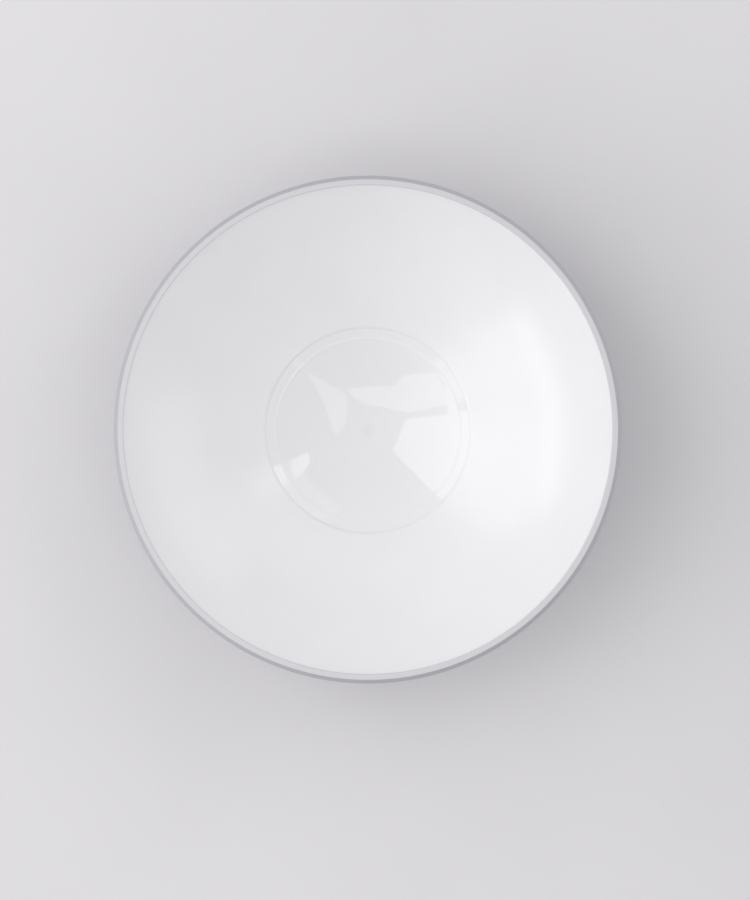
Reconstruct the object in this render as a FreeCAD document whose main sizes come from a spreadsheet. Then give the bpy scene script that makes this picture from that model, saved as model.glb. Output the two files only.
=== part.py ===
import FreeCAD, Part
import math
import os

import Sketcher

# A chip and dip server in moulded plastic, turned about the Z axis and standing on Z = 0.
# A white liner holds the chips and has a shallow well in its middle. A grey outer layer is
# bonded to the back of the liner and wraps over its edge as the lip. A loose dip dish drops
# into the well, and a soft ring in the foot keeps the bowl from sliding.
# All sizes are in millimetres. Heights are measured up from the table.

SIZES = {
    # Rim and lip, in the outer layer
    "rim_radius": 127.0,
    "rim_height": 75.0,
    "lip_flat_width": 3.0,
    "lip_slope_width": 2.0,
    "lip_slope_drop": 3.5,
    "lip_band_height": 0.7,
    "lip_under_drop": 6.6,
    # Chip bowl: one spherical curve, with the layers concentric to it
    "bowl_curve_radius": 155.0,
    "bowl_curve_centre": 169.4,
    "liner_wall": 2.0,
    "bond_gap": 0.1,
    "shell_wall": 2.0,
    # Dip dish: a rim band, a fine bead and a spherical floor
    "dish_radius": 53.3,
    "dish_top": 23.5,
    "dish_band_width": 4.4,
    "dish_band_drop": 1.8,
    "dish_bead_width": 1.6,
    "dish_bead_radius": 3.0,
    "dish_curve_radius": 112.0,
    "dish_curve_centre": 122.55,
    "dish_wall": 2.5,
    "dish_seat": 19.5,
    "dish_rim_round": 0.1,
    # Well in the liner that takes the dish
    "well_side_gap": 0.05,
    "well_floor_gap": 0.5,
    "well_chamfer_width": 1.25,
    "well_edge_round": 2.0,
    # Foot and the soft ring in it
    "foot_bottom": 0.6,
    "foot_outer_radius": 57.0,
    "foot_inner_radius": 51.5,
    "foot_outer_top_radius": 59.5,
    "foot_inner_top_radius": 50.6,
    "ring_groove_radius": 54.25,
    "ring_groove_width": 2.5,
    "ring_groove_depth": 2.0,
    "ring_side_gap": 0.05,
    # Rounded edges
    "edge_fine": 0.3,
    "edge_small": 0.6,
    "edge_foot": 1.2,
    "blend_lip": 3.0,
    "blend_foot_outside": 8.0,
    "blend_foot_inside": 3.0,
}

# Places that a sketch can name: the sketch's own origin and its upright axis.
ORIGIN = (-1, 1)
UPRIGHT_AXIS = -2
START, END, CENTRE = 1, 2, 3
FULL_TURN = 360.0

# How close an edge has to pass to the place that names it.
NEAR = 0.02


def make_sheet(document):
    """Write the driving dimensions into a spreadsheet, one alias to a cell."""
    sheet = document.addObject("Spreadsheet::Sheet", "Sizes")
    for row, (alias, value) in enumerate(SIZES.items(), start=1):
        cell = "A%d" % row
        sheet.set(cell, str(value))
        sheet.setAlias(cell, alias)
    document.recompute()
    return sheet


def height_on_curve(centre, radius, reach):
    """Height of a spherical curve at a distance from the axis, below its centre."""
    return centre - math.sqrt(radius ** 2 - reach ** 2)


def reach_on_curve(centre, radius, height):
    """Distance from the axis at which a spherical curve comes to a height."""
    return math.sqrt(radius ** 2 - (centre - height) ** 2)


class Section:
    """A closed half-section on a body's XZ plane, drawn piece after piece.

    Each piece starts where the last one ended. The places given are where the solver
    starts; the constraints, bound to the spreadsheet, hold the real sizes.
    """

    def __init__(self, body, name, start):
        planes = {plane.Role: plane for plane in body.Origin.OriginFeatures}
        self.sketch = body.newObject("Sketcher::SketchObject", name)
        self.sketch.AttachmentSupport = (planes["XZ_Plane"], [""])
        self.sketch.MapMode = "FlatFace"
        self.here = FreeCAD.Vector(start[0], start[1], 0)
        self.pieces = []

    def constrain(self, *values):
        return self.sketch.addConstraint(Sketcher.Constraint(*values))

    def bind(self, constraint, name, expression):
        self.sketch.renameConstraint(constraint, name)
        self.sketch.setExpression("Constraints." + name, expression)

    def add(self, geometry, first, last, end):
        index = self.sketch.addGeometry(geometry, False)
        if self.pieces:
            before = self.pieces[-1]
            self.constrain("Coincident", before[0], before[2], index, first)
        self.pieces.append((index, first, last))
        self.here = end
        return len(self.pieces) - 1

    def line(self, end, direction=None):
        """A straight piece, held level or upright where a direction is given."""
        target = FreeCAD.Vector(end[0], end[1], 0)
        piece = self.add(Part.LineSegment(self.here, target), START, END, target)
        if direction:
            self.constrain(direction, self.pieces[piece][0])
        return piece

    def curve(self, end, centre, rising):
        """An arc about a centre, anticlockwise if rising, clockwise if not."""
        middle = FreeCAD.Vector(centre[0], centre[1], 0)
        target = FreeCAD.Vector(end[0], end[1], 0)
        low, high = (self.here, target) if rising else (target, self.here)
        angles = [math.atan2(place.y - middle.y, place.x - middle.x) for place in (low, high)]
        circle = Part.Circle(middle, FreeCAD.Vector(0, 0, 1), (low - middle).Length)
        arc = Part.ArcOfCircle(circle, angles[0], angles[1])
        first, last = (START, END) if rising else (END, START)
        return self.add(arc, first, last, target)

    def axial_curve(self, name, end, centre, radius, rising):
        """A spherical curve: an arc whose centre is on the Z axis."""
        sizes = [SIZES[word.strip()] for word in radius.split("+")]
        piece = self.curve(end, (0, SIZES[centre]), rising)
        index = self.pieces[piece][0]
        self.constrain("PointOnObject", index, CENTRE, UPRIGHT_AXIS)
        self.bind(
            self.constrain("DistanceY", *ORIGIN, index, CENTRE, SIZES[centre]),
            name + "_centre", "Sizes." + centre,
        )
        bound = " + ".join("Sizes." + word.strip() for word in radius.split("+"))
        self.bind(self.constrain("Radius", index, sum(sizes)), name + "_radius", bound)
        return piece

    def close(self):
        first, last = self.pieces[0], self.pieces[-1]
        self.constrain("Coincident", last[0], last[2], first[0], first[1])

    def on_axis(self, piece):
        """Hold the start of a piece on the Z axis."""
        self.constrain("PointOnObject", self.pieces[piece][0], self.pieces[piece][1], UPRIGHT_AXIS)

    def reach(self, piece, name, expression):
        """Bind the end of a piece to a distance from the axis."""
        index, _, last = self.pieces[piece]
        now = self.sketch.getPoint(index, last).x
        self.bind(self.constrain("DistanceX", *ORIGIN, index, last, now), name, expression)

    def height(self, piece, name, expression):
        """Bind the end of a piece to a height."""
        index, _, last = self.pieces[piece]
        now = self.sketch.getPoint(index, last).y
        self.bind(self.constrain("DistanceY", *ORIGIN, index, last, now), name, expression)


def make_body(document, label):
    body = document.addObject("PartDesign::Body", label)
    body.Label = label
    return body


def turn(body, section, kind="PartDesign::Revolution"):
    """Turn a section all the way round the Z axis, as added or removed material."""
    before = body.Tip.Shape.Volume if body.Tip else 0.0
    feature = body.newObject(kind, section.sketch.Name + "_turned")
    feature.Profile = section.sketch
    feature.ReferenceAxis = (section.sketch, ["V_Axis"])
    feature.Angle = FULL_TURN
    body.Document.recompute()
    changed = feature.Shape.Volume - before
    if (kind == "PartDesign::Groove") != (changed < 0):
        raise RuntimeError(feature.Name + " changed the volume the wrong way")
    return feature


def is_circle(edge):
    """True for a whole circle round the axis, false for seams and poles."""
    return not edge.Degenerated and isinstance(edge.Curve, Part.Circle) and edge.isClosed()


def round_edges(body, name, alias, places):
    """Round the circular edges that pass through the given (reach, height) places."""
    base = body.Tip
    names = []
    for reach, height in places:
        point = Part.Vertex(reach, 0, height)
        gaps = [
            edge.distToShape(point)[0] if is_circle(edge) else math.inf
            for edge in base.Shape.Edges
        ]
        nearest = min(gaps)
        if nearest > NEAR:
            raise RuntimeError("%s: no edge at %.2f, %.2f" % (name, reach, height))
        names.append("Edge%d" % (gaps.index(nearest) + 1))
    feature = body.newObject("PartDesign::Fillet", name)
    feature.Base = (base, names)
    feature.setExpression("Radius", "Sizes." + alias)
    body.Document.recompute()
    return feature


def make_dip_dish(document):
    """The loose dish: rim band, fine bead, spherical floor, flat seat under the rim."""
    size = SIZES
    centre = size["dish_curve_centre"]
    under_radius = size["dish_curve_radius"] + size["dish_wall"]
    bead_out = size["dish_radius"] - size["dish_band_width"]
    bead_in = bead_out - size["dish_bead_width"]
    bead_in_height = height_on_curve(centre, size["dish_curve_radius"], bead_in)
    bead_out_height = size["dish_top"] - size["dish_band_drop"]
    seat_in = reach_on_curve(centre, under_radius, size["dish_seat"])

    body = make_body(document, "dip_dish")
    section = Section(body, "dish_section", (0, centre - size["dish_curve_radius"]))
    floor = section.axial_curve(
        "floor", (bead_in, bead_in_height), "dish_curve_centre", "dish_curve_radius", True
    )
    chord = FreeCAD.Vector(bead_out - bead_in, bead_out_height - bead_in_height, 0)
    lift = math.sqrt(size["dish_bead_radius"] ** 2 - (chord.Length / 2) ** 2)
    across = FreeCAD.Vector(chord.y, -chord.x, 0).normalize() * lift
    bead_middle = FreeCAD.Vector(bead_in, bead_in_height, 0) + chord * 0.5 + across
    bead = section.curve((bead_out, bead_out_height), (bead_middle.x, bead_middle.y), False)
    band = section.line((size["dish_radius"], size["dish_top"]))
    side = section.line((size["dish_radius"], size["dish_seat"]), "Vertical")
    seat = section.line((seat_in, size["dish_seat"]), "Horizontal")
    under = section.axial_curve(
        "under", (0, centre - under_radius), "dish_curve_centre",
        "dish_curve_radius + dish_wall", False,
    )
    middle = section.line((0, centre - size["dish_curve_radius"]))
    section.close()
    section.on_axis(floor)
    section.on_axis(middle)
    section.reach(
        floor, "bead_inside",
        "Sizes.dish_radius - Sizes.dish_band_width - Sizes.dish_bead_width",
    )
    section.bind(
        section.constrain("Radius", section.pieces[bead][0], size["dish_bead_radius"]),
        "bead_radius", "Sizes.dish_bead_radius",
    )
    section.reach(bead, "bead_outside", "Sizes.dish_radius - Sizes.dish_band_width")
    section.height(bead, "band_low", "Sizes.dish_top - Sizes.dish_band_drop")
    section.reach(band, "outside", "Sizes.dish_radius")
    section.height(band, "top", "Sizes.dish_top")
    section.height(side, "seat", "Sizes.dish_seat")
    turn(body, section)
    round_edges(body, "rim_edge", "dish_rim_round", [(size["dish_radius"], size["dish_top"])])
    round_edges(body, "seat_edge", "edge_small", [(size["dish_radius"], size["dish_seat"])])
    return body


def make_inner_bowl(document):
    """The white liner: the chip bowl's spherical wall and the well in its middle."""
    size = SIZES
    bowl_centre = size["bowl_curve_centre"]
    inside = size["bowl_curve_radius"]
    outside = inside + size["liner_wall"]
    dish_centre = size["dish_curve_centre"]
    well = size["dish_curve_radius"] + size["dish_wall"] + size["well_floor_gap"]
    below = well + size["liner_wall"]
    well_side = size["dish_radius"] + size["well_side_gap"]
    well_back = well_side + size["liner_wall"]
    brow = well_side + size["well_chamfer_width"]
    ledge = size["dish_seat"]
    under_ledge = ledge - size["liner_wall"]
    edge = size["rim_radius"] - size["lip_slope_width"] - size["lip_flat_width"]
    edge_height = height_on_curve(bowl_centre, inside, edge)
    edge_back = reach_on_curve(bowl_centre, outside, edge_height)

    body = make_body(document, "inner_bowl")
    section = Section(body, "liner_section", (0, dish_centre - well))
    floor = section.axial_curve(
        "well", (reach_on_curve(dish_centre, well, ledge), ledge),
        "dish_curve_centre", "dish_curve_radius + dish_wall + well_floor_gap", True,
    )
    shelf = section.line((well_side, ledge), "Horizontal")
    side = section.line((well_side, size["dish_top"]), "Vertical")
    chamfer = section.line((brow, height_on_curve(bowl_centre, inside, brow)))
    wall = section.axial_curve(
        "inside", (edge, edge_height), "bowl_curve_centre", "bowl_curve_radius", True
    )
    section.line((edge_back, edge_height), "Horizontal")
    back = section.axial_curve(
        "outside", (well_back, height_on_curve(bowl_centre, outside, well_back)),
        "bowl_curve_centre", "bowl_curve_radius + liner_wall", False,
    )
    drop = section.line((well_back, under_ledge), "Vertical")
    section.line((reach_on_curve(dish_centre, below, under_ledge), under_ledge), "Horizontal")
    section.axial_curve(
        "below", (0, dish_centre - below), "dish_curve_centre",
        "dish_curve_radius + dish_wall + well_floor_gap + liner_wall", False,
    )
    middle = section.line((0, dish_centre - well))
    section.close()
    section.on_axis(floor)
    section.on_axis(middle)
    section.height(floor, "ledge", "Sizes.dish_seat")
    section.reach(shelf, "well_side", "Sizes.dish_radius + Sizes.well_side_gap")
    section.height(side, "chamfer_low", "Sizes.dish_top")
    section.reach(
        chamfer, "chamfer_outside",
        "Sizes.dish_radius + Sizes.well_side_gap + Sizes.well_chamfer_width",
    )
    section.reach(
        wall, "edge", "Sizes.rim_radius - Sizes.lip_slope_width - Sizes.lip_flat_width"
    )
    section.reach(
        back, "well_back", "Sizes.dish_radius + Sizes.well_side_gap + Sizes.liner_wall"
    )
    section.height(drop, "under_ledge", "Sizes.dish_seat - Sizes.liner_wall")
    turn(body, section)
    corner = (brow, height_on_curve(bowl_centre, inside, brow))
    round_edges(body, "well_edge", "well_edge_round", [corner])
    round_edges(body, "ledge_corner", "edge_fine", [(well_side, ledge)])
    return body


def make_outer_shell(document):
    """The grey outer layer: lip, outer wall, foot, and the dome under the well."""
    size = SIZES
    bowl_centre = size["bowl_curve_centre"]
    inside = size["bowl_curve_radius"] + size["liner_wall"] + size["bond_gap"]
    outside = inside + size["shell_wall"]
    dish_centre = size["dish_curve_centre"]
    well = size["dish_curve_radius"] + size["dish_wall"] + size["well_floor_gap"]
    pan = well + size["liner_wall"] + size["bond_gap"]
    dome = pan + size["shell_wall"]
    pocket = size["dish_radius"] + size["well_side_gap"] + size["liner_wall"] + size["bond_gap"]
    shelf_height = size["dish_seat"] - size["liner_wall"]
    edge = size["rim_radius"] - size["lip_slope_width"] - size["lip_flat_width"]
    edge_height = height_on_curve(bowl_centre, size["bowl_curve_radius"], edge)
    flat_out = size["rim_radius"] - size["lip_slope_width"]
    top = size["rim_height"]
    slope_low = top - size["lip_slope_drop"]
    band_low = slope_low - size["lip_band_height"]
    under_height = top - size["lip_under_drop"]
    under = (reach_on_curve(bowl_centre, outside, under_height), under_height)
    foot_out = size["foot_outer_top_radius"]
    foot_top = (foot_out, height_on_curve(bowl_centre, outside, foot_out))
    foot_in = size["foot_inner_top_radius"]
    foot_in_top = (foot_in, height_on_curve(dish_centre, dome, foot_in))

    body = make_body(document, "outer_shell")
    section = Section(body, "shell_section", (0, dish_centre - pan))
    floor = section.axial_curve(
        "pan", (reach_on_curve(dish_centre, pan, shelf_height), shelf_height),
        "dish_curve_centre",
        "dish_curve_radius + dish_wall + well_floor_gap + liner_wall + bond_gap", True,
    )
    shelf = section.line((pocket, shelf_height), "Horizontal")
    section.line((pocket, height_on_curve(bowl_centre, inside, pocket)), "Vertical")
    wall = section.axial_curve(
        "inside", (reach_on_curve(bowl_centre, inside, edge_height), edge_height),
        "bowl_curve_centre", "bowl_curve_radius + liner_wall + bond_gap", True,
    )
    cap = section.line((edge, edge_height), "Horizontal")
    section.line((edge, top), "Vertical")
    flat = section.line((flat_out, top), "Horizontal")
    slope = section.line((size["rim_radius"], slope_low))
    band = section.line((size["rim_radius"], band_low), "Vertical")
    tuck = section.line(under)
    back = section.axial_curve(
        "outside", foot_top, "bowl_curve_centre",
        "bowl_curve_radius + liner_wall + bond_gap + shell_wall", False,
    )
    foot = section.line((size["foot_outer_radius"], size["foot_bottom"]))
    sole = section.line((size["foot_inner_radius"], size["foot_bottom"]), "Horizontal")
    inner = section.line(foot_in_top)
    section.axial_curve(
        "dome", (0, dish_centre - dome), "dish_curve_centre",
        "dish_curve_radius + dish_wall + well_floor_gap + liner_wall + bond_gap + shell_wall",
        False,
    )
    middle = section.line((0, dish_centre - pan))
    section.close()
    section.on_axis(floor)
    section.on_axis(middle)
    section.height(floor, "shelf", "Sizes.dish_seat - Sizes.liner_wall")
    section.reach(
        shelf, "pocket",
        "Sizes.dish_radius + Sizes.well_side_gap + Sizes.liner_wall + Sizes.bond_gap",
    )
    section.height(
        wall, "cap_underside",
        "Sizes.bowl_curve_centre - sqrt(Sizes.bowl_curve_radius ^ 2"
        " - (Sizes.rim_radius - Sizes.lip_slope_width - Sizes.lip_flat_width) ^ 2)",
    )
    section.reach(
        cap, "lip_inside", "Sizes.rim_radius - Sizes.lip_slope_width - Sizes.lip_flat_width"
    )
    section.reach(flat, "flat_outside", "Sizes.rim_radius - Sizes.lip_slope_width")
    section.height(flat, "top", "Sizes.rim_height")
    section.reach(slope, "rim", "Sizes.rim_radius")
    section.height(slope, "slope_low", "Sizes.rim_height - Sizes.lip_slope_drop")
    section.height(
        band, "band_low", "Sizes.rim_height - Sizes.lip_slope_drop - Sizes.lip_band_height"
    )
    section.height(tuck, "tuck", "Sizes.rim_height - Sizes.lip_under_drop")
    section.reach(back, "foot_outside_top", "Sizes.foot_outer_top_radius")
    section.reach(foot, "foot_outside", "Sizes.foot_outer_radius")
    section.height(foot, "foot_bottom", "Sizes.foot_bottom")
    section.reach(sole, "foot_inside", "Sizes.foot_inner_radius")
    section.reach(inner, "foot_inside_top", "Sizes.foot_inner_top_radius")
    turn(body, section)
    round_edges(body, "foot_blend_outside", "blend_foot_outside", [foot_top])
    round_edges(body, "foot_blend_inside", "blend_foot_inside", [foot_in_top])
    round_edges(body, "lip_blend", "blend_lip", [under])
    round_edges(
        body, "foot_edges", "edge_foot",
        [
            (size["foot_outer_radius"], size["foot_bottom"]),
            (size["foot_inner_radius"], size["foot_bottom"]),
        ],
    )
    round_edges(
        body, "lip_edges", "edge_fine",
        [
            (edge, top),
            (flat_out, top),
            (size["rim_radius"], slope_low),
            (size["rim_radius"], band_low),
        ],
    )

    half = size["ring_groove_width"] / 2
    groove_in = size["ring_groove_radius"] - half
    groove_out = size["ring_groove_radius"] + half
    groove_top = size["foot_bottom"] + size["ring_groove_depth"]
    groove = Section(body, "groove_section", (groove_in, size["foot_bottom"]))
    bottom = groove.line((groove_out, size["foot_bottom"]), "Horizontal")
    groove.line((groove_out, groove_top), "Vertical")
    ceiling = groove.line((groove_in, groove_top), "Horizontal")
    groove.line((groove_in, size["foot_bottom"]), "Vertical")
    groove.close()
    groove.reach(bottom, "outside", "Sizes.ring_groove_radius + Sizes.ring_groove_width / 2")
    groove.height(bottom, "bottom", "Sizes.foot_bottom")
    groove.reach(ceiling, "inside", "Sizes.ring_groove_radius - Sizes.ring_groove_width / 2")
    groove.height(ceiling, "ceiling", "Sizes.foot_bottom + Sizes.ring_groove_depth")
    turn(body, groove, "PartDesign::Groove")
    return body


def make_non_slip_ring(document):
    """The soft ring that fills the groove in the foot and stands proud of it."""
    size = SIZES
    half = size["ring_groove_width"] / 2 - size["ring_side_gap"]
    inner = size["ring_groove_radius"] - half
    outer = size["ring_groove_radius"] + half
    top = size["foot_bottom"] + size["ring_groove_depth"]

    body = make_body(document, "non_slip_ring")
    section = Section(body, "ring_section", (inner, 0))
    sole = section.line((outer, 0), "Horizontal")
    section.line((outer, top), "Vertical")
    ceiling = section.line((inner, top), "Horizontal")
    section.line((inner, 0), "Vertical")
    section.close()
    section.constrain("PointOnObject", section.pieces[sole][0], END, -1)
    section.reach(
        sole, "outside",
        "Sizes.ring_groove_radius + Sizes.ring_groove_width / 2 - Sizes.ring_side_gap",
    )
    section.reach(
        ceiling, "inside",
        "Sizes.ring_groove_radius - Sizes.ring_groove_width / 2 + Sizes.ring_side_gap",
    )
    section.height(ceiling, "top", "Sizes.foot_bottom + Sizes.ring_groove_depth")
    turn(body, section)
    round_edges(body, "sole_edges", "edge_small", [(inner, 0), (outer, 0)])
    return body


def check(document, bodies):
    """Stop before anything is written if an object failed or a shape is bad."""
    for item in document.Objects:
        if "Invalid" in item.State or "Error" in item.State:
            raise RuntimeError("%s: %s" % (item.Label, item.State))
        if item.TypeId == "Sketcher::SketchObject" and not item.FullyConstrained:
            raise RuntimeError(item.Label + " has sizes that nothing holds")
    for body in bodies:
        if body.Shape.isNull() or not body.Shape.isValid():
            raise RuntimeError(body.Label + " has a bad shape")


def main():
    document = FreeCAD.newDocument("chip_and_dip_server")
    make_sheet(document)
    bodies = [
        make_inner_bowl(document),
        make_outer_shell(document),
        make_dip_dish(document),
        make_non_slip_ring(document),
    ]
    document.recompute()
    check(document, bodies)
    os.makedirs("parts", exist_ok=True)
    for body in bodies:
        body.Shape.exportStep("parts/%s.step" % body.Label)
        box = body.Shape.BoundBox
        print("%s: %.1f mm3, z %.2f to %.2f" % (body.Label, body.Shape.Volume, box.ZMin, box.ZMax))


main()
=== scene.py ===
"""Looks of a chip and dip server: a white bowl in a grey outer layer, with a loose dip dish."""

import logging
import math
from collections.abc import Mapping, Sequence
from dataclasses import dataclass
from enum import Enum

import bmesh
import bpy
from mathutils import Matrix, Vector
from mathutils.geometry import intersect_line_sphere_2d


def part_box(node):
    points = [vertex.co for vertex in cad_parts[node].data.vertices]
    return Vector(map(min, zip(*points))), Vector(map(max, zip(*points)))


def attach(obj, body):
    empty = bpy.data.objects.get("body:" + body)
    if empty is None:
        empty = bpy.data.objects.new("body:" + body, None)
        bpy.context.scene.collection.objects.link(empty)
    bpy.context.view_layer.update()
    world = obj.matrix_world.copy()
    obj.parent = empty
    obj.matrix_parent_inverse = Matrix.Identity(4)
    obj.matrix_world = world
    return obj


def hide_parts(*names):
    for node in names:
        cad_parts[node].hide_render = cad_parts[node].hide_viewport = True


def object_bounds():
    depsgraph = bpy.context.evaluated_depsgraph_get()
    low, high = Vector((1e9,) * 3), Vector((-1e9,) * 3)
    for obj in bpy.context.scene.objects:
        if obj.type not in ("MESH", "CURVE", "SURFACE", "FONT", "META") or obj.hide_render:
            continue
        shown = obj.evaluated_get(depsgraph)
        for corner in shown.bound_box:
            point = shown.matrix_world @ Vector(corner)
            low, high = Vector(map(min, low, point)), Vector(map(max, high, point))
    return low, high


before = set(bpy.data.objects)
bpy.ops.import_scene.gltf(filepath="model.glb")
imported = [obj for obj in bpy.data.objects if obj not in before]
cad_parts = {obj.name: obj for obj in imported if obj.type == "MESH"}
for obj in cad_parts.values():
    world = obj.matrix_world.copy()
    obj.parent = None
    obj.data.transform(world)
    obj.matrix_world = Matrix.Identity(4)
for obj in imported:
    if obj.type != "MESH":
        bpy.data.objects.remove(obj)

CAD_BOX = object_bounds()

MM = 0.001
# Steps in one full turn of a piece.
TURN_STEPS = 288
# How far from a corner the extra points stand that keep its shading crisp.
GUARD = 0.12 * MM
# The most that such a point may take of one step; beyond it the stretch is drawn without them.
GUARD_SHARE = 0.2
# Points closer together than this are one point.
MERGE = 0.002 * MM
# How strongly hard plastic bends light.
PLASTIC_IOR = 1.52
# Width of the foot's groove, and the gap on each side of the soft ring in it.
GROOVE_WIDTH = 2.5 * MM
RING_GAP = 0.05 * MM

Colour = tuple[float, float, float]
LOG = logging.getLogger("chip_and_dip_server")


class Node(Enum):
    """Pieces of the frame, by their names there."""

    LINER = "inner_bowl"
    SHELL = "outer_shell"
    DISH = "dip_dish"
    RING = "non_slip_ring"


class Body(Enum):
    """Bodies of the frame that a piece can ride on."""

    BOWL = "bowl"
    DISH = "dip_dish"


class Slot(Enum):
    """Material slots of the record."""

    LINER = "white_liner"
    SHELL = "grey_outer"
    DISH = "white_dish"
    RING = "soft_ring"


# ---------------------------------------------------------------- shader maths


class Value:
    """A number that varies over a surface, with the operators that the finishes use."""

    def __init__(self, graph: "Graph", socket: bpy.types.NodeSocket) -> None:
        """Wrap a socket.

        Args:
            graph: The node tree that the socket is in.
            socket: The output socket that carries the number.
        """
        self.graph = graph
        self.socket = socket

    def math(self, operation: str, *terms: "Value | float") -> "Value":
        """Add one Math node.

        Args:
            operation: The node's operation.
            terms: Its inputs, in order.

        Returns:
            The node's result.
        """
        node = self.graph.node(
            "ShaderNodeMath", {"operation": operation}, dict(enumerate(terms))
        )
        return Value(self.graph, node.outputs[0])

    def __add__(self, other: "Value | float") -> "Value":
        """Return self + other."""
        return self.math("ADD", self, other)

    __radd__ = __add__

    def __sub__(self, other: "Value | float") -> "Value":
        """Return self - other."""
        return self.math("SUBTRACT", self, other)

    def __mul__(self, other: "Value | float") -> "Value":
        """Return self * other."""
        return self.math("MULTIPLY", self, other)

    __rmul__ = __mul__

    def __truediv__(self, other: "Value | float") -> "Value":
        """Return self / other."""
        return self.math("DIVIDE", self, other)

    def ramp(self, low: float, high: float) -> "Value":
        """Go smoothly from 0 at low to 1 at high.

        Args:
            low: The value that gives 0.
            high: The value that gives 1; it may be less than low.

        Returns:
            The smoothed share, from 0 to 1.
        """
        node = self.graph.node(
            "ShaderNodeMapRange",
            {"interpolation_type": "SMOOTHSTEP", "clamp": True},
            {"Value": self, "From Min": low, "From Max": high},
        )
        return Value(self.graph, node.outputs[0])


class Graph:
    """The node tree of one material, with one way to add a node."""

    def __init__(self, name: str) -> None:
        """Start an empty material.

        Args:
            name: The material's name.
        """
        self.material = bpy.data.materials.new(name)
        self.material.use_nodes = True
        self.tree = self.material.node_tree
        self.tree.nodes.clear()

    def node(
        self,
        kind: str,
        settings: Mapping[str, object] | None = None,
        inputs: Mapping[str | int, object] | None = None,
    ) -> bpy.types.Node:
        """Add a node, set it up, then fill its sockets.

        Args:
            kind: The node's type.
            settings: Properties of the node.
            inputs: Values or links, by socket name or number.

        Returns:
            The new node.
        """
        node = self.tree.nodes.new(kind)
        for name, setting in (settings or {}).items():
            setattr(node, name, setting)
        for name, given in (inputs or {}).items():
            if isinstance(given, Value):
                given = given.socket
            if isinstance(given, bpy.types.NodeSocket):
                self.tree.links.new(given, node.inputs[name])
            else:
                node.inputs[name].default_value = given
        return node

    def position(self) -> bpy.types.NodeSocket:
        """Return the place on the piece, in metres in the piece's own frame."""
        return self.node("ShaderNodeTexCoord").outputs["Object"]

    def noise(self, vector: bpy.types.NodeSocket, size: float, detail: float = 2.0) -> Value:
        """Cloudy noise from 0 to 1.

        Args:
            vector: Where the noise is read.
            size: The width of one cloud, in the vector's units.
            detail: How many finer layers lie over it.

        Returns:
            The noise.
        """
        node = self.node(
            "ShaderNodeTexNoise", None, {"Vector": vector, "Scale": 1 / size, "Detail": detail}
        )
        return Value(self, node.outputs[0])

    def mix(self, share: Value, plain: Colour, marked: Colour) -> bpy.types.NodeSocket:
        """Mix two colours.

        Args:
            share: 0 for the plain colour, 1 for the marked one.
            plain: The first colour.
            marked: The second colour.

        Returns:
            The mixed colour.
        """
        node = self.node(
            "ShaderNodeMix",
            {"data_type": "RGBA"},
            {"Factor": share, 6: (*plain, 1.0), 7: (*marked, 1.0)},
        )
        return node.outputs[2]

    def bump(self, height: Value) -> bpy.types.NodeSocket:
        """Turn a height in millimetres into a normal."""
        node = self.node("ShaderNodeBump", None, {"Distance": MM, "Height": height})
        return node.outputs[0]

    def finish(self, inputs: Mapping[str | int, object]) -> bpy.types.Material:
        """Add the shader and the output.

        Args:
            inputs: Values or links for the shader's sockets.

        Returns:
            The finished material.
        """
        shader = self.node("ShaderNodeBsdfPrincipled", None, inputs)
        self.node("ShaderNodeOutputMaterial", None, {"Surface": shader.outputs[0]})
        return self.material


class Round:
    """Coordinates of a turned piece: distance from the axis, height, and along the turning."""

    def __init__(self, graph: Graph) -> None:
        """Read the place and split it.

        Args:
            graph: The node tree to work in.
        """
        self.graph = graph
        self.place = graph.position()
        parts = graph.node("ShaderNodeSeparateXYZ", None, {0: self.place}).outputs
        self.height = Value(graph, parts[2])
        flat = graph.node(
            "ShaderNodeVectorMath",
            {"operation": "MULTIPLY"},
            {0: self.place, 1: (1.0, 1.0, 0.0)},
        )
        length = graph.node("ShaderNodeVectorMath", {"operation": "LENGTH"}, {0: flat.outputs[0]})
        self.reach = Value(graph, length.outputs["Value"])
        facing = graph.node(
            "ShaderNodeVectorMath", {"operation": "NORMALIZE"}, {0: flat.outputs[0]}
        )
        self.facing = facing.outputs[0]

    def swirl(self, length: float, width: float, detail: float = 2.0) -> Value:
        """Noise drawn out along the turning direction, as wiping and stirring leave it.

        Args:
            length: The length of a streak, as a share of one radian.
            width: The width of a streak, in metres.
            detail: How many finer layers lie over it.

        Returns:
            The noise, from 0 to 1.
        """
        across = self.graph.node(
            "ShaderNodeCombineXYZ", None, {2: self.reach / width + self.height / width}
        )
        along = self.graph.node(
            "ShaderNodeVectorMath",
            {"operation": "MULTIPLY_ADD"},
            {0: self.facing, 1: (1 / length,) * 3, 2: across.outputs[0]},
        )
        return self.graph.noise(along.outputs[0], 1.0, detail)


# ---------------------------------------------------------------- finishes


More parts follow.
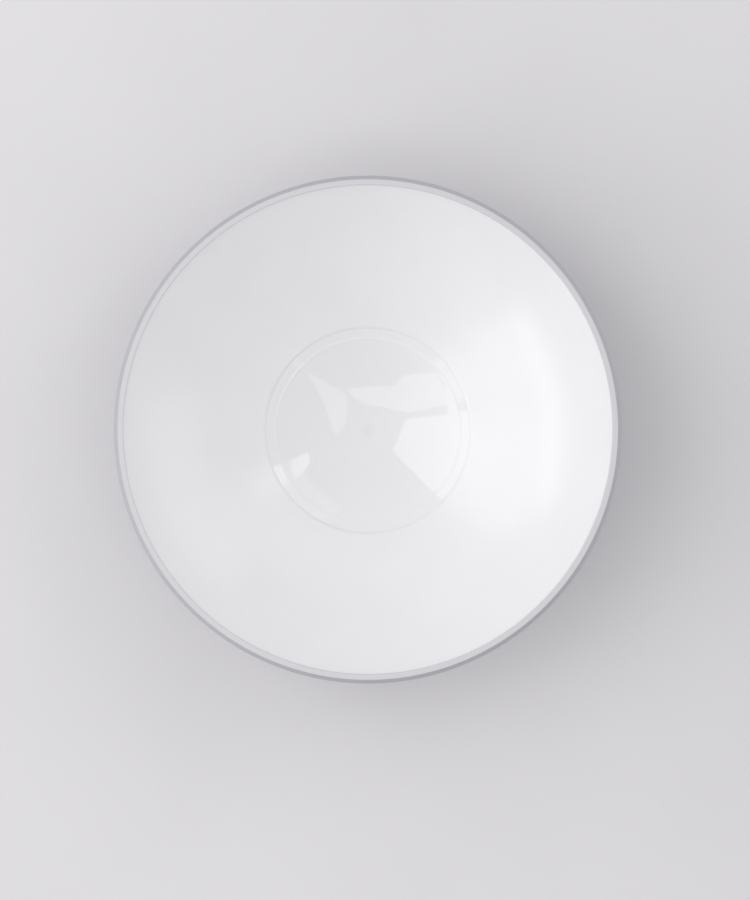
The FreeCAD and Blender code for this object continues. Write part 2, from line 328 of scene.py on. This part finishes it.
@dataclass(frozen=True)
class WhiteMoulding:
    """Glossy white moulded plastic that has been used and washed.

    Reaches are in metres, and depths of unevenness in millimetres. The other numbers are shares.
    """

    name: str
    colour: Colour
    shade: Colour
    roughness: float
    spot_reach: float = 0.0
    spot_core: float = 0.25
    cloud_shade: float = 0.25
    spot_darkening: float = 0.6
    least_haze: float = 0.8
    haze_gain: float = 0.5
    wiped_roughness: float = 0.02
    fine_depth: float = 0.0006
    broad_depth: float = 0.012
    wiped_depth: float = 0.0005
    spot_depth: float = 0.008

    def make(self) -> bpy.types.Material:
        """Build the material.

        Returns:
            The material, for any white piece.
        """
        graph = Graph(self.name)
        piece = Round(graph)
        clouds = graph.noise(piece.place, size=38 * MM, detail=3.0)
        haze = graph.noise(piece.place, size=9 * MM, detail=4.0)
        wiped = piece.swirl(length=0.55, width=0.35 * MM, detail=3.0).ramp(low=0.60, high=0.80)
        fine = graph.noise(piece.place, size=1.6 * MM, detail=2.0)
        broad = graph.noise(piece.place, size=26 * MM, detail=1.0)
        height = self.fine_depth * fine + self.broad_depth * broad - self.wiped_depth * wiped
        tone = self.cloud_shade * clouds.ramp(low=0.3, high=0.75)
        # Around the middle of the piece the surface dips a little, and its colour is mixed towards
        # the darker shade.
        if self.spot_reach:
            spot = piece.reach.ramp(low=self.spot_reach, high=self.spot_core * self.spot_reach)
            height = height - self.spot_depth * spot
            tone = tone + self.spot_darkening * spot
        haziness = self.roughness * (self.least_haze + self.haze_gain * haze)
        return graph.finish(
            {
                "Base Color": graph.mix(tone, self.colour, self.shade),
                "Roughness": haziness + self.wiped_roughness * wiped,
                "IOR": PLASTIC_IOR,
                "Normal": graph.bump(height),
            }
        )


@dataclass(frozen=True)
class GreyMoulding:
    """Satin grey moulded plastic, with painted light on the flat top of the lip, which is lighter as
    it faces the light.

    The rim, the inset and the drops are in metres, and depths of unevenness in millimetres. The
    other numbers are shares.
    """

    name: str
    colour: Colour
    # The lighter colour is painted light on the lip's top, and random cloudy tone over the rest of
    # the layer.
    lit_top_and_cloud_tone: Colour
    rim_radius: float
    rim_height: float
    lit_top_inset: float = 2.1 * MM
    inset_fade: float = 0.4 * MM
    lit_top_drops: tuple[float, float] = (1.5 * MM, 0.5 * MM)
    least_lit_top: float = 0.86
    lit_top_cloud: float = 0.14
    plain_cloud: float = 0.05
    roughness: float = 0.285
    grain_roughness: float = 0.06
    wiped_roughness: float = 0.04
    grain_depth: float = 0.0016
    broad_depth: float = 0.012
    wiped_depth: float = 0.001

    def make(self) -> bpy.types.Material:
        """Build the material.

        Returns:
            The material, for the outer layer.
        """
        graph = Graph(self.name)
        piece = Round(graph)
        clouds = graph.noise(piece.place, size=30 * MM, detail=3.0)
        grain = graph.noise(piece.place, size=0.9 * MM, detail=2.0)
        broad = graph.noise(piece.place, size=22 * MM, detail=1.0)
        wiped = piece.swirl(length=0.4, width=0.3 * MM, detail=3.0).ramp(low=0.62, high=0.82)
        # Painted light: the flat top of the lip is mixed towards the lighter colour, where light
        # falls on it from above.
        inset = self.rim_radius - self.lit_top_inset
        on_top = piece.reach.ramp(low=inset, high=inset - self.inset_fade)
        low, high = (self.rim_height - drop for drop in self.lit_top_drops)
        painted_lit_top = on_top * piece.height.ramp(low, high) * (self.least_lit_top + self.lit_top_cloud * clouds)
        lit_top_and_cloud_tone = painted_lit_top + self.plain_cloud * clouds
        unevenness = self.grain_depth * grain + self.broad_depth * broad - self.wiped_depth * wiped
        roughness = self.roughness + self.grain_roughness * grain + self.wiped_roughness * wiped
        return graph.finish(
            {
                "Base Color": graph.mix(lit_top_and_cloud_tone, self.colour, self.lit_top_and_cloud_tone),
                "Roughness": roughness,
                "IOR": PLASTIC_IOR,
                "Normal": graph.bump(unevenness),
            }
        )


@dataclass(frozen=True)
class Silicone:
    """Matt soft rubber with a bloom of dust; its grain's depth is in millimetres."""

    name: str
    colour: Colour
    dusty: Colour
    roughness: float = 0.58
    dusty_roughness: float = 0.22
    grain_depth: float = 0.012

    def make(self) -> bpy.types.Material:
        """Build the material.

        Returns:
            The material, for the ring in the foot.
        """
        graph = Graph(self.name)
        piece = Round(graph)
        dust = graph.noise(piece.place, size=3 * MM, detail=5.0).ramp(low=0.45, high=0.8)
        grain = graph.noise(piece.place, size=0.25 * MM, detail=2.0)
        return graph.finish(
            {
                "Base Color": graph.mix(dust, self.colour, self.dusty),
                "Roughness": self.roughness + self.dusty_roughness * dust,
                "Normal": graph.bump(self.grain_depth * grain),
            }
        )


@dataclass(frozen=True)
class PaleFloor:
    """A plain pale table top; its grain's depth is in millimetres."""

    name: str
    colour: Colour
    shade: Colour
    roughness: float = 0.55
    grain_roughness: float = 0.1
    grain_depth: float = 0.01

    def make(self) -> bpy.types.Material:
        """Build the material.

        Returns:
            The material, for the floor.
        """
        graph = Graph(self.name)
        place = graph.position()
        clouds = graph.noise(place, size=160 * MM, detail=4.0).ramp(low=0.2, high=0.9)
        grain = graph.noise(place, size=1.2 * MM, detail=3.0)
        return graph.finish(
            {
                "Base Color": graph.mix(clouds, self.colour, self.shade),
                "Roughness": self.roughness + self.grain_roughness * grain,
                "Normal": graph.bump(self.grain_depth * grain),
            }
        )


# ---------------------------------------------------------------- turned shapes


def place_mesh(mesh: bmesh.types.BMesh, name: str) -> bpy.types.Object:
    """Put a finished mesh in the scene.

    Args:
        mesh: The mesh, which is used up.
        name: The new object's name.

    Returns:
        The new object.
    """
    data = bpy.data.meshes.new(name)
    mesh.to_mesh(data)
    mesh.free()
    placed = bpy.data.objects.new(name, data)
    bpy.context.scene.collection.objects.link(placed)
    return placed


@dataclass(frozen=True)
class Dome:
    """A sphere about the Z axis, of which a surface uses the lower part."""

    centre: float
    radius: float

    @property
    def middle(self) -> Vector:
        """The sphere's centre, as a place on the half-section."""
        return Vector((0.0, self.centre))

    def out(self, wall: float) -> "Dome":
        """Return the same sphere, larger by a wall."""
        return Dome(self.centre, self.radius + wall)

    def at_reach(self, reach: float) -> Vector:
        """Return the place on the sphere at a distance from the axis."""
        return Vector((reach, self.centre - math.sqrt(self.radius**2 - reach**2)))

    def at_height(self, height: float) -> Vector:
        """Return the place on the sphere at a height."""
        return Vector((math.sqrt(self.radius**2 - (self.centre - height) ** 2), height))

    def towards(self, place: Vector) -> Vector:
        """Return the place on the sphere nearest to another place."""
        return self.middle + (place - self.middle).normalized() * self.radius


@dataclass(frozen=True)
class Fillet:
    """A round that blends the outside of a dome into a straight wall."""

    centre: Vector
    on_wall: Vector
    on_dome: Vector

    @classmethod
    def between(cls, dome: Dome, foot: Vector, corner: Vector, radius: float, side: int) -> "Fillet":
        """Find the round.

        Args:
            dome: The spherical surface.
            foot: The wall's far end.
            corner: Where the wall would meet the dome.
            radius: The radius of the round.
            side: 1 if the round lies right of the way from foot to corner, -1 if left.

        Returns:
            The round, with its two ends.
        """
        along = (corner - foot).normalized()
        across = Vector((along.y, -along.x)) * side * radius
        hits = intersect_line_sphere_2d(
            foot + across, corner + across, dome.middle, dome.radius + radius, False
        )
        centre = min(hits, key=lambda hit: (hit - corner).length)
        return cls(centre, centre - across, dome.towards(centre))


class Outline:
    """A half-section drawn move by move in the XZ plane, then turned about the Z axis."""

    def __init__(self, start: Vector) -> None:
        """Put the tip at the first place.

        Args:
            start: Distance from the axis, and height.
        """
        self.mesh = bmesh.new()
        self.tip = self.mesh.verts.new((start.x, 0.0, start.y))
        self.first = self.tip

    @property
    def here(self) -> Vector:
        """The place of the tip."""
        return Vector((self.tip.co.x, self.tip.co.z))

    @staticmethod
    def stops(length: float, steps: int) -> list[float]:
        """Share out a stretch, with a point close to each end to keep its shading true.

        Args:
            length: The length of the stretch.
            steps: The number of steps along it.

        Returns:
            The shares of the length at which there are points.
        """
        guard = GUARD / length
        if guard > GUARD_SHARE / steps:
            return [step / steps for step in range(1, steps + 1)]
        spread = [guard + (1 - 2 * guard) * step / steps for step in range(steps + 1)]
        return [*spread, 1.0]

    def line(self, end: Vector, steps: int = 1) -> "Outline":
        """Draw a straight stretch.

        Args:
            end: Where it ends.
            steps: The number of steps along it.

        Returns:
            The outline itself.
        """
        start = self.here
        for share in self.stops((end - start).length, steps):
            grown = bmesh.ops.extrude_vert_indiv(self.mesh, verts=[self.tip])
            self.tip = grown["verts"][0]
            place = start.lerp(end, share)
            self.tip.co = (place.x, 0.0, place.y)
        return self

    def arc(self, centre: Vector, end: Vector, steps: int) -> "Outline":
        """Draw an arc of under half a circle.

        Args:
            centre: The arc's centre.
            end: Where it ends.
            steps: The number of steps along it.

        Returns:
            The outline itself.
        """
        before, after = self.here - centre, end - centre
        sweep = math.atan2(before.cross(after), before.dot(after))
        done = 0.0
        for share in self.stops(abs(sweep) * before.length, steps):
            spun = bmesh.ops.spin(
                self.mesh,
                geom=[self.tip],
                cent=(centre.x, 0.0, centre.y),
                axis=(0.0, -1.0, 0.0),
                angle=sweep * (share - done),
                steps=1,
            )
            self.tip = next(g for g in spun["geom_last"] if isinstance(g, bmesh.types.BMVert))
            done = share
        return self

    def bend(self, corner: Vector, beyond: Vector, radius: float, steps: int = 6) -> "Outline":
        """Draw a line to a corner that is rounded towards the next place.

        Args:
            corner: The corner.
            beyond: A place on the stretch after the corner.
            radius: The radius of the round.
            steps: The number of steps along the round.

        Returns:
            The outline itself.
        """
        back = (self.here - corner).normalized()
        onward = (beyond - corner).normalized()
        half = back.angle(onward) / 2
        cut = radius / math.tan(half)
        centre = corner + (back + onward).normalized() * (radius / math.sin(half))
        return self.line(corner + back * cut).arc(centre, corner + onward * cut, steps)

    def close(self) -> "Outline":
        """Draw a straight stretch back to the first place."""
        return self.line(Vector((self.first.co.x, self.first.co.z)))

    def turn(self, name: str) -> bpy.types.Object:
        """Turn the half-section into a closed, smooth solid.

        Args:
            name: The piece's name.

        Returns:
            The new object.
        """
        mesh = self.mesh
        bmesh.ops.spin(
            mesh,
            geom=[*mesh.verts, *mesh.edges],
            cent=(0.0, 0.0, 0.0),
            axis=(0.0, 0.0, 1.0),
            angle=math.tau,
            steps=TURN_STEPS,
            use_merge=True,
        )
        bmesh.ops.remove_doubles(mesh, verts=mesh.verts, dist=MERGE)
        bmesh.ops.recalc_face_normals(mesh, faces=mesh.faces)
        for face in mesh.faces:
            face.smooth = True
        return place_mesh(mesh, name)


@dataclass
class TurnedPiece:
    """A piece turned about the Z axis that stands for one piece of the frame."""

    node: Node
    body: Body
    slot: Slot
    name: str
    finish: WhiteMoulding | GreyMoulding | Silicone

    def outline(self) -> Outline:
        """Draw the half-section; each kind of piece has its own."""
        raise NotImplementedError

    def build(self) -> None:
        """Turn the piece, dress it and fix it to its body."""
        piece = self.outline().turn(self.name)
        piece.data.materials.append(self.finish.make())
        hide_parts(self.node.value)
        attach(piece, self.body.value)
        LOG.info("%s: %d faces, rides on %s", self.name, len(piece.data.polygons), self.body.value)


@dataclass(frozen=True)
class Curves:
    """The two spherical curves that all layers follow, and the walls between them.

    All sizes are in metres. The first five are read from the frame.
    """

    rim_radius: float
    rim_height: float
    dish_radius: float
    dish_top: float
    dish_low: float
    chip_radius: float = 155.0 * MM
    chip_drop: float = 1.21 * MM
    dip_radius: float = 112.0 * MM
    lip_width: float = 5.0 * MM
    liner_wall: float = 2.0 * MM
    bond_gap: float = 0.1 * MM
    shell_wall: float = 2.0 * MM
    dish_wall: float = 2.5 * MM
    side_gap: float = 0.01 * MM
    floor_gap: float = 0.5 * MM
    rim_wall: float = 4.0 * MM

    @classmethod
    def from_frame(cls) -> "Curves":
        """Read the widths and heights from the frame.

        Returns:
            The curves.
        """
        _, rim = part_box(Node.SHELL.value)
        low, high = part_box(Node.DISH.value)
        return cls(rim.x, rim.z, high.x, high.z, low.z)

    @property
    def lip_inside(self) -> float:
        """Distance from the axis of the lip's inner edge."""
        return self.rim_radius - self.lip_width

    @property
    def chip(self) -> Dome:
        """The chip bowl's inside: it meets the lip a little below its top.

        Returns:
            The sphere.
        """
        edge = self.rim_height - self.chip_drop
        centre = edge + math.sqrt(self.chip_radius**2 - self.lip_inside**2)
        return Dome(centre, self.chip_radius)

    @property
    def dip(self) -> Dome:
        """The dip dish's inside."""
        return Dome(self.dish_low + self.dish_wall + self.dip_radius, self.dip_radius)

    @property
    def seat(self) -> float:
        """Height of the ledge that the dish's rim rests on."""
        return self.dish_top - self.rim_wall

    @property
    def well(self) -> Dome:
        """The liner's surface below the dish."""
        return self.dip.out(self.dish_wall + self.floor_gap)

    @property
    def well_side(self) -> float:
        """Distance from the axis of the well's upright side."""
        return self.dish_radius + self.side_gap


@dataclass
class Liner(TurnedPiece):
    """The white inside of the chip bowl, with the well in its middle."""

    curves: Curves
    chamfer_width: float = 1.25 * MM
    chamfer_round: float = 2.0 * MM
    ledge_round: float = 0.3 * MM

    def outline(self) -> Outline:
        """Draw the well, the wall up to the lip, and the hidden back.

        Returns:
            The half-section.
        """
        curves = self.curves
        chip, well, side = curves.chip, curves.well, curves.well_side
        back = chip.out(curves.liner_wall)
        below = well.out(curves.liner_wall)
        outer = side + curves.liner_wall
        shelf = curves.seat - curves.liner_wall
        low = Vector((side, curves.dish_top))
        brow = Fillet.between(
            chip, low, chip.at_reach(side + self.chamfer_width), self.chamfer_round, 1
        )
        edge = chip.at_reach(curves.lip_inside)
        drawn = Outline(well.at_reach(0.0))
        drawn.arc(well.middle, well.at_height(curves.seat), steps=22)
        drawn.bend(Vector((side, curves.seat)), low, self.ledge_round, steps=4)
        drawn.line(low).line(brow.on_wall, steps=4).arc(brow.centre, brow.on_dome, steps=6)
        drawn.arc(chip.middle, edge, steps=64)
        drawn.line(back.at_height(edge.y), steps=2)
        drawn.arc(back.middle, back.at_reach(outer), steps=24)
        drawn.line(Vector((outer, shelf))).line(below.at_height(shelf))
        return drawn.arc(below.middle, below.at_reach(0.0), steps=12)


@dataclass
class OuterLayer(TurnedPiece):
    """The grey layer: the lip, the outside of the bowl, and the foot."""

    curves: Curves
    ring_reach: float
    ring_top: float
    foot_height: float = 0.6 * MM
    foot_outer: float = 57.0 * MM
    foot_inner: float = 51.5 * MM
    foot_outer_top: float = 59.5 * MM
    foot_inner_top: float = 50.6 * MM
    lip_slope: tuple[float, float] = (2.0 * MM, 3.5 * MM)
    lip_band: float = 0.7 * MM
    lip_under: float = 6.6 * MM
    fine_round: float = 0.3 * MM
    foot_round: float = 1.2 * MM
    lip_blend: float = 3.0 * MM
    outer_blend: float = 8.0 * MM
    inner_blend: float = 3.0 * MM
    gate_radius: float = 1.5 * MM
    gate_drop: float = 0.35 * MM
    gate_round: float = 0.15 * MM

    def foot_and_groove(self, drawn: Outline, corner: Vector) -> None:
        """Draw the foot's sole, with the groove for the soft ring.

        Args:
            drawn: The outline, at the top of the foot's inner wall.
            corner: The top of the foot's outer wall.
        """
        low = self.foot_height
        outer = Vector((self.foot_outer, low))
        inner = Vector((self.foot_inner, low))
        near, far = self.ring_reach - GROOVE_WIDTH / 2, self.ring_reach + GROOVE_WIDTH / 2
        drawn.bend(inner, outer, self.foot_round)
        drawn.line(Vector((near, low))).line(Vector((near, self.ring_top)))
        drawn.line(Vector((far, self.ring_top))).line(Vector((far, low)))
        drawn.bend(outer, corner, self.foot_round)

    def lip(self, drawn: Outline, band: Vector) -> None:
        """Draw the lip, from the blend below it to its inner edge.

        Args:
            drawn: The outline, at the end of the blend below the lip.
            band: The lower corner of the lip's upright band.
        """
        curves = self.curves
        width, drop = self.lip_slope
        rim, top = curves.rim_radius, curves.rim_height
        crest = Vector((rim - width, top))
        brow = Vector((rim, top - drop))
        inside = Vector((curves.lip_inside, top))
        edge = curves.chip.at_reach(curves.lip_inside)
        drawn.bend(band, brow, self.fine_round)
        drawn.bend(brow, crest, self.fine_round)
        drawn.bend(crest, inside, self.fine_round)
        drawn.bend(inside, edge, self.fine_round)
        drawn.line(edge)

    def outline(self) -> Outline:
        """Draw the dome under the well, the foot, the outside, the lip and the hidden inside.

        Returns:
            The half-section.
        """
        curves = self.curves
        inside = curves.chip.out(curves.liner_wall + curves.bond_gap)
        outside = inside.out(curves.shell_wall)
        pan = curves.well.out(curves.liner_wall + curves.bond_gap)
        dome = pan.out(curves.shell_wall)
        pocket = curves.well_side + curves.liner_wall + curves.bond_gap
        shelf = curves.seat - curves.liner_wall

        inner_foot = Vector((self.foot_inner, self.foot_height))
        inner_top = dome.at_reach(self.foot_inner_top)
        inner = Fillet.between(dome, inner_foot, inner_top, self.inner_blend, -1)
        outer_foot = Vector((self.foot_outer, self.foot_height))
        outer_top = outside.at_reach(self.foot_outer_top)
        outer = Fillet.between(outside, outer_foot, outer_top, self.outer_blend, 1)
        under = outside.at_height(curves.rim_height - self.lip_under)
        band_low = curves.rim_height - self.lip_slope[1] - self.lip_band
        band = Vector((curves.rim_radius, band_low))
        tuck = Fillet.between(outside, band, under, self.lip_blend, -1)

        nub = Vector((self.gate_radius, dome.at_reach(0.0).y - self.gate_drop))
        drawn = Outline(Vector((0.0, nub.y)))
        drawn.bend(nub, dome.at_reach(self.gate_radius), self.gate_round, steps=3)
        drawn.line(dome.at_reach(self.gate_radius))
        drawn.arc(dome.middle, inner.on_dome, steps=30)
        drawn.arc(inner.centre, inner.on_wall, steps=12)
        self.foot_and_groove(drawn, outer_top)
        drawn.line(outer.on_wall).arc(outer.centre, outer.on_dome, steps=14)
        drawn.arc(outside.middle, tuck.on_dome, steps=56)
        drawn.arc(tuck.centre, tuck.on_wall, steps=8)
        self.lip(drawn, band)
        drawn.line(inside.at_height(drawn.here.y))
        drawn.arc(inside.middle, inside.at_reach(pocket), steps=24)
        drawn.line(Vector((pocket, shelf))).line(pan.at_height(shelf))
        return drawn.arc(pan.middle, pan.at_reach(0.0), steps=12)


@dataclass
class DipDish(TurnedPiece):
    """The loose dish: a sloping rim band, a fine bead, and a round floor."""

    curves: Curves
    band_width: float = 4.4 * MM
    band_drop: float = 1.8 * MM
    bead_width: float = 1.6 * MM
    bead_radius: float = 3.0 * MM
    rim_round: float = 0.03 * MM
    seat_round: float = 0.6 * MM

    def outline(self) -> Outline:
        """Draw the floor, the bead, the rim band, the seat and the underside.

        Returns:
            The half-section.
        """
        curves = self.curves
        floor = curves.dip
        under = floor.out(curves.dish_wall)
        rim = Vector((curves.dish_radius, curves.dish_top))
        seat = Vector((curves.dish_radius, curves.seat))
        bead_out = rim - Vector((self.band_width, self.band_drop))
        bead_in = floor.at_reach(bead_out.x - self.bead_width)
        chord = bead_out - bead_in
        lift = math.sqrt(self.bead_radius**2 - (chord.length / 2) ** 2)
        down = Vector((chord.y, -chord.x)).normalized()
        bead = bead_in + chord / 2 + down * lift
        drawn = Outline(floor.at_reach(0.0))
        drawn.arc(floor.middle, bead_in, steps=48).arc(bead, bead_out, steps=10)
        drawn.bend(rim, seat, self.rim_round).bend(seat, Vector((0.0, seat.y)), self.seat_round)
        drawn.line(under.at_height(seat.y))
        return drawn.arc(under.middle, under.at_reach(0.0), steps=32)


@dataclass
class NonSlipRing(TurnedPiece):
    """The soft ring in the foot's groove."""

    inner: float
    outer: float
    top: float
    sole_round: float = 0.6 * MM

    def outline(self) -> Outline:
        """Draw the ring's square section with a rounded sole.

        Returns:
            The half-section.
        """
        sole_in, sole_out = Vector((self.inner, 0.0)), Vector((self.outer, 0.0))
        top_in, top_out = Vector((self.inner, self.top)), Vector((self.outer, self.top))
        drawn = Outline(top_in)
        drawn.bend(sole_in, sole_out, self.sole_round).bend(sole_out, top_out, self.sole_round)
        return drawn.line(top_out).close()


# ---------------------------------------------------------------- stage, light and view


@dataclass(frozen=True)
class Panel:
    """A flat glowing panel, cut to an outline, that hangs above the table.

    Its corners are given in metres across and along the table, from the bowl's middle.
    """

    name: str
    corners: Sequence[tuple[float, float]]
    radiance: float
    height: float = 1.6

    def hang(self) -> None:
        """Hang the panel, so that it shines but the camera doesn't see it."""
        mesh = bmesh.new()
        mesh.faces.new([mesh.verts.new((*corner, self.height)) for corner in self.corners])
        panel = place_mesh(mesh, self.name)
        glow = Graph(self.name).finish(
            {
                "Base Color": (0.0, 0.0, 0.0, 1.0),
                "Emission Color": (1.0, 1.0, 1.0, 1.0),
                "Emission Strength": self.radiance,
            }
        )
        panel.data.materials.append(glow)
        panel.visible_camera = False


@dataclass(frozen=True)
class Window:
    """A flat light that stands at the side and faces the bowl.

    Its azimuth and elevation are in degrees, seen from the bowl's middle.
    """

    name: str
    azimuth: float
    elevation: float
    size: tuple[float, float]
    radiance: float
    distance: float = 2.4

    def stand(self) -> None:
        """Stand the light up."""
        data = bpy.data.lights.new(self.name, "AREA")
        data.shape = "RECTANGLE"
        data.size, data.size_y = self.size
        data.energy = self.radiance * math.pi * data.size * data.size_y
        lamp = bpy.data.objects.new(self.name, data)
        angle, rise = math.radians(self.azimuth), math.radians(self.elevation)
        away = Vector(
            (math.cos(angle) * math.cos(rise), math.sin(angle) * math.cos(rise), math.sin(rise))
        )
        lamp.location = away * self.distance
        lamp.rotation_euler = away.to_track_quat("Z", "Y").to_euler()
        lamp.visible_camera = False
        bpy.context.scene.collection.objects.link(lamp)


@dataclass
class Studio:
    """The floor, the lights, the room's own light, and the camera.

    The camera rises over the rim and stands a little aside of the bowl's middle, in metres. The
    view's length is what its long side takes in at the rim. The film is that side of the sensor,
    in millimetres.
    """

    floor_width: float = 8.0
    room: Colour = (0.63, 0.63, 0.64)
    camera_rise: float = 1.1
    camera_aside: tuple[float, float] = (3.65 * MM, -10.2 * MM)
    view_length: float = 448.6 * MM
    film: float = 36.0
    floor: PaleFloor = PaleFloor("pale_floor", (0.68, 0.668, 0.685), (0.645, 0.633, 0.65))
    panels: Sequence[Panel] = (
        Panel(
            "key",
            ((-0.35, 0.3), (-1.2, 1.15), (-1.7, 0.8), (-1.75, -0.3), (-0.55, -0.15)),
            radiance=2.35,
        ),
        Panel(
            "bar",
            (
                (0.3, -0.6), (-0.4, -0.65), (-0.55, -0.85), (-1.25, -1.05),
                (-1.5, -0.45), (-0.6, -0.25), (0.0, -0.35), (0.2, -0.45),
            ),
            radiance=1.85,
        ),
        Panel(
            "leg",
            ((1.05, -1.0), (0.65, -0.4), (0.45, 0.1), (0.3, -0.1), (0.3, -0.5)),
            radiance=1.7,
        ),
        Panel(
            "small",
            ((1.35, 0.55), (0.95, 0.35), (0.9, 0.5), (1.1, 0.75), (1.35, 0.9)),
            radiance=2.8,
        ),
    )
    windows: Sequence[Window] = (
        Window("high_left", azimuth=180.0, elevation=38.0, size=(3.2, 0.9), radiance=1.4),
        Window("high_right", azimuth=45.0, elevation=40.0, size=(1.4, 0.9), radiance=0.75),
        Window("high_back", azimuth=90.0, elevation=38.0, size=(1.6, 0.9), radiance=0.2),
        Window("low_left", azimuth=187.0, elevation=22.0, size=(2.8, 0.35), radiance=2.6),
        Window("low_right", azimuth=20.0, elevation=18.0, size=(2.6, 1.0), radiance=1.0),
    )

    def lay_floor(self) -> None:
        """Lay the floor."""
        mesh = bmesh.new()
        bmesh.ops.create_grid(mesh, x_segments=1, y_segments=1, size=self.floor_width / 2)
        floor = place_mesh(mesh, "floor")
        floor.data.materials.append(self.floor.make())

    def light_room(self) -> None:
        """Give the room a plain light of its own."""
        world = bpy.data.worlds.new("room")
        world.use_nodes = True
        background = world.node_tree.nodes["Background"]
        background.inputs["Color"].default_value = (*self.room, 1.0)
        bpy.context.scene.world = world

    def place_camera(self, rim_height: float) -> None:
        """Look straight down on the bowl.

        Args:
            rim_height: The height of the rim, where the view's length is measured.
        """
        data = bpy.data.cameras.new("overhead")
        data.sensor_width = self.film
        data.lens = self.film * self.camera_rise / self.view_length
        camera = bpy.data.objects.new("overhead", data)
        camera.location = (*self.camera_aside, rim_height + self.camera_rise)
        bpy.context.scene.collection.objects.link(camera)
        bpy.context.scene.camera = camera

    def build(self, rim_height: float) -> None:
        """Set the stage.

        Args:
            rim_height: The height of the rim.
        """
        self.lay_floor()
        self.light_room()
        for panel in self.panels:
            panel.hang()
        for window in self.windows:
            window.stand()
        self.place_camera(rim_height)
        bpy.context.scene.view_settings.view_transform = "Standard"
        LOG.info("stage: %d lights", len(self.panels) + len(self.windows))


def pieces() -> list[TurnedPiece]:
    """Size every piece from the frame.

    Returns:
        The pieces, from the inside of the bowl outwards.
    """
    curves = Curves.from_frame()
    _, ring_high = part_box(Node.RING.value)
    ring_outer = ring_high.x
    ring_inner = ring_outer + 2 * RING_GAP - GROOVE_WIDTH
    ring_reach = (ring_inner + ring_outer) / 2
    white = WhiteMoulding(
        "glossy_white", (0.80, 0.797, 0.808), (0.74, 0.737, 0.75), roughness=0.20
    )
    # The dish is tinted a little bluer than the liner: a painted tint of the bluish light that its
    # glossy floor reflects.
    dish = WhiteMoulding(
        "glossy_white_dish", (0.80, 0.795, 0.815), (0.75, 0.745, 0.765),
        roughness=0.03, spot_reach=5.0 * MM,
    )
    grey = GreyMoulding(
        "satin_grey", (0.42, 0.42, 0.45), (0.60, 0.595, 0.62),
        curves.rim_radius, curves.rim_height,
    )
    soft = Silicone("grey_silicone", (0.20, 0.20, 0.21), (0.30, 0.30, 0.305))
    return [
        Liner(Node.LINER, Body.BOWL, Slot.LINER, "white_liner", white, curves),
        OuterLayer(
            Node.SHELL, Body.BOWL, Slot.SHELL, "grey_outer_layer", grey, curves,
            ring_reach, ring_high.z,
        ),
        DipDish(Node.DISH, Body.DISH, Slot.DISH, "loose_dip_dish", dish, curves),
        NonSlipRing(
            Node.RING, Body.BOWL, Slot.RING, "soft_foot_ring", soft,
            ring_inner, ring_outer, ring_high.z,
        ),
    ]


def main() -> None:
    """Build the pieces and the studio, and log each piece's faces and the number of lights."""
    logging.basicConfig(level=logging.INFO, format="%(message)s")
    for piece in pieces():
        piece.build()
    Studio().build(CAD_BOX[1].z)


if __name__ == "__main__":
    main()
